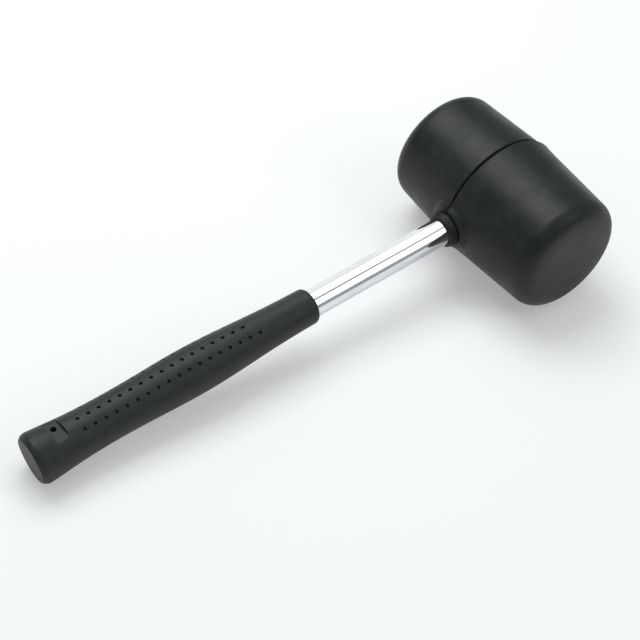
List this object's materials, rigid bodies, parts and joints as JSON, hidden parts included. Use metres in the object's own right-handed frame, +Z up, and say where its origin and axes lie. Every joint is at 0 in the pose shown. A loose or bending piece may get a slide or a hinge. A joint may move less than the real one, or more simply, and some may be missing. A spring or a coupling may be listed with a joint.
{
  "type": "rubber mallet",
  "caption": "Hand mallet for setting stone and tile: a stepped rubber head on a chromed steel tube, with a dimpled rubber grip and a hang hole through its butt.",
  "frame": {"origin": "on the surface that the mallet lies on, under the middle of its bounding box", "axes": "+Z up; +Y along the handle from the butt to the head, which the handle follows at a slope of 4.4 degrees because it rests on the head and the butt; +X along the striking axis, towards the longer and wider half of the head"},
  "size_m": [0.1172, 0.3578, 0.0775],
  "materials": {
    "head_rubber": "matte moulded rubber with a soft sheen",
    "collar_rubber": "matte",
    "chromed_tube": "bright chrome plate",
    "plug_hardwood": "bare end grain",
    "plug_plastic": "moulded",
    "grip_rubber": "matte moulded rubber"
  },
  "bodies": {
    "root": {"head": "head_rubber", "eye_collar": "collar_rubber", "handle_tube": "chromed_tube", "head_plug": "plug_hardwood", "butt_plug": "plug_plastic", "grip": "grip_rubber"}
  },
  "joints": []
}
